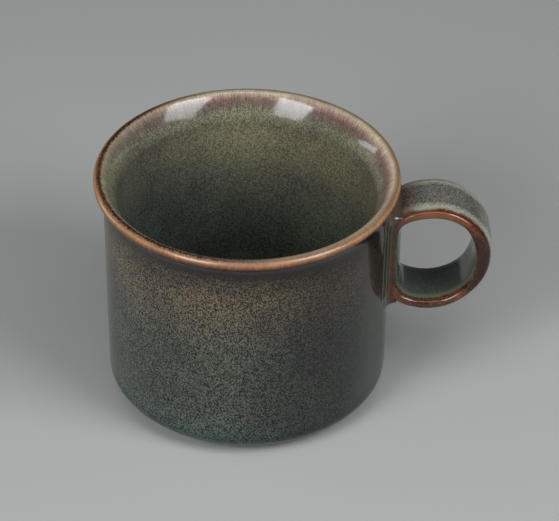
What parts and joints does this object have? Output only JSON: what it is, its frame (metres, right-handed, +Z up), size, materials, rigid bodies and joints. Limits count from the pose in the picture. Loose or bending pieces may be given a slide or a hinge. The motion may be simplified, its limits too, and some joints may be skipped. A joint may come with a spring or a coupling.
{
  "type": "ring-handled cup",
  "caption": "Straight-sided stoneware cup with a rolled lip, flared mouth, low foot ring and a ring handle of flat band, for hot drinks.",
  "frame": {"origin": "middle of the footprint that cup and handle cover together, on the plane that the foot ring stands on", "axes": "+Z up out of the mouth, +X from the cup's axis to the handle, +Y across the handle's band"},
  "size_m": [0.1108, 0.085, 0.07],
  "materials": {
    "body_glaze": "glossy speckled grey-brown glaze, breaking to iron brown on the lip",
    "handle_glaze": "glossy speckled blue-grey glaze, breaking to iron brown on the edges",
    "slip_glaze": "glossy pooled green-grey glaze"
  },
  "bodies": {
    "root": {"cup_body": "body_glaze", "ring_handle": "handle_glaze", "handle_slip": "slip_glaze"}
  },
  "joints": []
}
